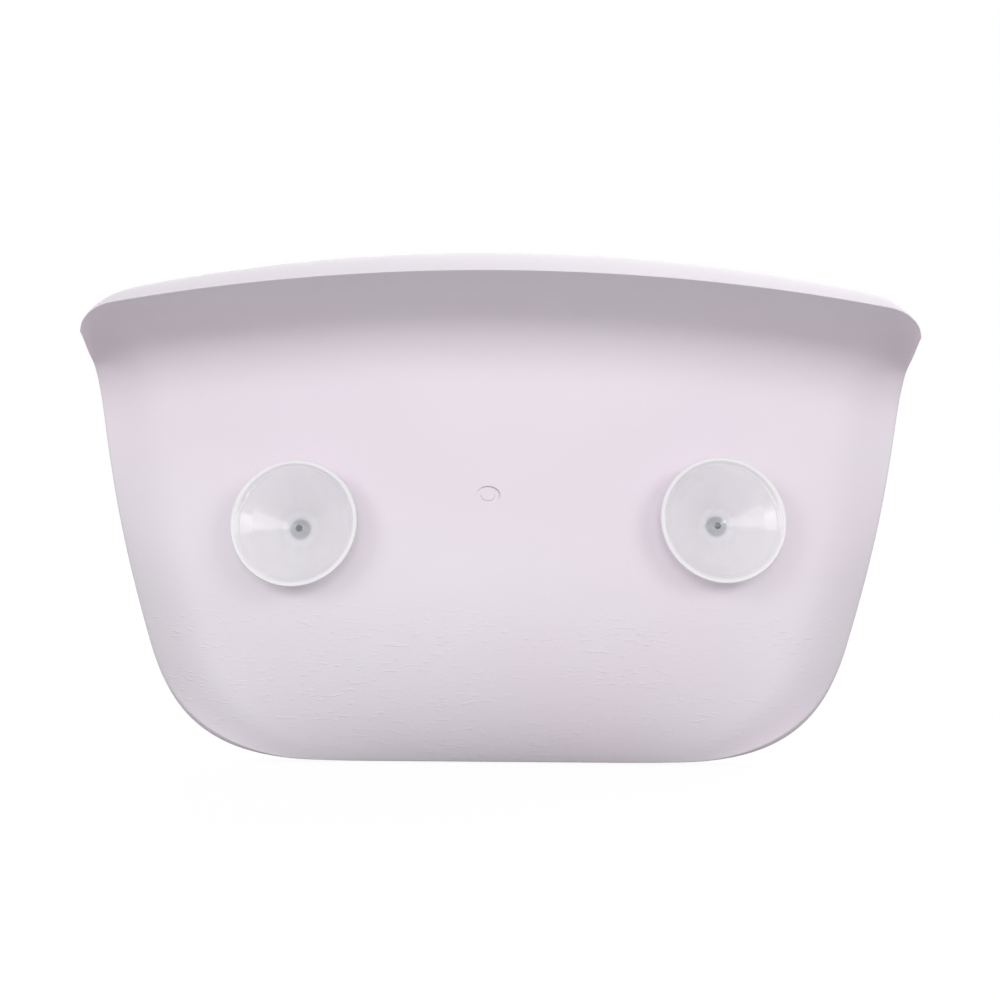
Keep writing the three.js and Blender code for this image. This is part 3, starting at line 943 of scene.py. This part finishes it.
class BATHPILLOW_OT_sockets(bpy.types.Operator):
    """Builds the sockets that hold the cups' heads in the foam"""

    bl_idname = "bath_pillow.sockets"
    bl_label = "Build Sockets"

    def execute(self, context):
        size = context.scene.bath_pillow_cups
        profile = socket_profile(size, sizes().skin_thickness)
        material = socket_material()
        for side in SIDES:
            piece = turned(f"socket_{side}_moulded", profile, seat(side), rounding=size.round)
            finish_piece(piece, material, f"socket_{side}", "pillow")
        return {"FINISHED"}


class BATHPILLOW_OT_cups(bpy.types.Operator):
    """Builds the clear suction cups"""

    bl_idname = "bath_pillow.cups"
    bl_label = "Build Suction Cups"

    def execute(self, context):
        size = context.scene.bath_pillow_cups
        profile = cup_profile(size)
        for side in SIDES:
            piece = turned(f"cup_{side}_clear", profile, seat(side), rounding=size.round)
            node, body = f"suction_cup_{side}", f"cup_{side}"
            finish_piece(piece, vinyl_material(side), node, body)
        return {"FINISHED"}


class BATHPILLOW_OT_stage(bpy.types.Operator):
    """Sets the camera, the lamps, the world and the pale floor"""

    bl_idname = "bath_pillow.stage"
    bl_label = "Set Stage"

    def execute(self, context):
        scene = context.scene
        scene.view_settings.view_transform = "Standard"
        foot = cad_box[0][2]
        self.camera(scene, foot)
        self.lamps(scene)
        self.world(scene)
        self.floor(scene, foot)
        return {"FINISHED"}

    def camera(self, scene, foot):
        """The photograph's camera, level with the pillow and slightly rolled."""
        outline_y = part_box("pillow_skin")[1][1] - sizes().front_depth
        camera = bpy.data.objects.new("Camera", bpy.data.cameras.new("Camera"))
        camera.data.sensor_width = SENSOR_WIDTH
        camera.data.lens = SENSOR_WIDTH * FOCAL_LENGTH_PIXELS / PHOTO_WIDTH_PIXELS
        camera.data.clip_start = NEAREST_SEEN
        camera.location = (CAMERA_SHIFT, outline_y - CAMERA_DISTANCE, foot + CAMERA_HEIGHT)
        camera.rotation_euler = Euler((math.radians(90), math.radians(CAMERA_ROLL), 0))
        scene.collection.objects.link(camera)
        scene.camera = camera

    def lamps(self, scene):
        """Broad lamps on the camera's side, which leave soft shadows, and two for the front."""
        for name, place, strength, width in LAMPS:
            data = bpy.data.lights.new(name, "SUN")
            data.angle = math.radians(width)
            data.energy = strength
            lamp = bpy.data.objects.new(name, data)
            lamp.location = place
            lamp.rotation_euler = (-Vector(place)).to_track_quat("-Z", "Y").to_euler()
            scene.collection.objects.link(lamp)

    def world(self, scene):
        """White where it is seen, mirrored or looked through, and a dim light elsewhere."""
        scene.world = bpy.data.worlds.new("Studio")
        shader = Shader(scene.world)
        kinds = ("Is Camera Ray", "Is Glossy Ray", "Is Transmission Ray")
        camera, glossy, through = (shader.node("ShaderNodeLightPath", output=kind) for kind in kinds)
        white = rgba((1, 1, 1))
        dim = shader.node("ShaderNodeBackground", {}, {"Color": white, "Strength": AMBIENT_STRENGTH})
        full = shader.node("ShaderNodeBackground", {}, {"Color": white, "Strength": BACKDROP_STRENGTH})
        mixed = shader.node("ShaderNodeMixShader", {}, {0: camera + glossy + through, 1: dim, 2: full})
        shader.node("ShaderNodeOutputWorld", {}, {"Surface": mixed})

    def floor(self, scene, foot):
        """A pale floor that glows where it is seen, so that only a faint shadow shows on it."""

        def build(bm):
            bmesh.ops.create_grid(bm, x_segments=2, y_segments=2, size=FLOOR_HALF_WIDTH)
            bmesh.ops.translate(bm, vec=(0, 0, foot - FLOOR_GAP), verts=bm.verts)

        floor = new_object("studio_floor", build)
        shader = Shader(bpy.data.materials.new("Studio floor"))
        finish = scene.bath_pillow_finish
        seen = shader.node("ShaderNodeLightPath", output="Is Camera Ray")
        pale = shader.mix(seen, rgba(finish.shade), rgba(finish.floor))
        matte = shader.node("ShaderNodeBsdfDiffuse", {}, {"Color": pale})
        glow = shader.node("ShaderNodeEmission", {}, {"Color": rgba((1, 1, 1)), "Strength": FLOOR_GLOW})
        glowing = seen * FLOOR_GLOW_SHARE
        surface = shader.node("ShaderNodeMixShader", {}, {0: glowing, 1: matte, 2: glow})
        shader.node("ShaderNodeOutputMaterial", {}, {"Surface": surface})
        floor.data.materials.append(shader.owner)


class BATHPILLOW_PT_panel(bpy.types.Panel):
    """Lists the pillow's operators and sizes"""

    bl_label = "Bath Pillow"
    bl_idname = "BATHPILLOW_PT_panel"
    bl_space_type = "VIEW_3D"
    bl_region_type = "UI"
    bl_category = "Bath Pillow"

    def draw(self, context):
        for operator in OPERATORS:
            self.layout.operator(operator.bl_idname)
        for group in GROUPS:
            box = self.layout.box()
            values = getattr(context.scene, group)
            for key in values.__annotations__:
                box.prop(values, key)


OPERATORS = (
    BATHPILLOW_OT_skin,
    BATHPILLOW_OT_core,
    BATHPILLOW_OT_sockets,
    BATHPILLOW_OT_cups,
    BATHPILLOW_OT_stage,
)
GROUPS = {
    "bath_pillow_sizes": PillowSizes,
    "bath_pillow_handles": PillowHandles,
    "bath_pillow_cups": CupSizes,
    "bath_pillow_finish": Finish,
}


def register():
    for name, group in GROUPS.items():
        bpy.utils.register_class(group)
        setattr(bpy.types.Scene, name, bpy.props.PointerProperty(type=group))
    for kind in (*OPERATORS, BATHPILLOW_PT_panel):
        bpy.utils.register_class(kind)


def unregister():
    for kind in reversed((*OPERATORS, BATHPILLOW_PT_panel)):
        bpy.utils.unregister_class(kind)
    for name, group in GROUPS.items():
        delattr(bpy.types.Scene, name)
        bpy.utils.unregister_class(group)


def main():
    register()
    bpy.ops.bath_pillow.skin()
    bpy.ops.bath_pillow.core()
    bpy.ops.bath_pillow.sockets()
    bpy.ops.bath_pillow.cups()
    bpy.ops.bath_pillow.stage()


if __name__ == "__main__":
    main()
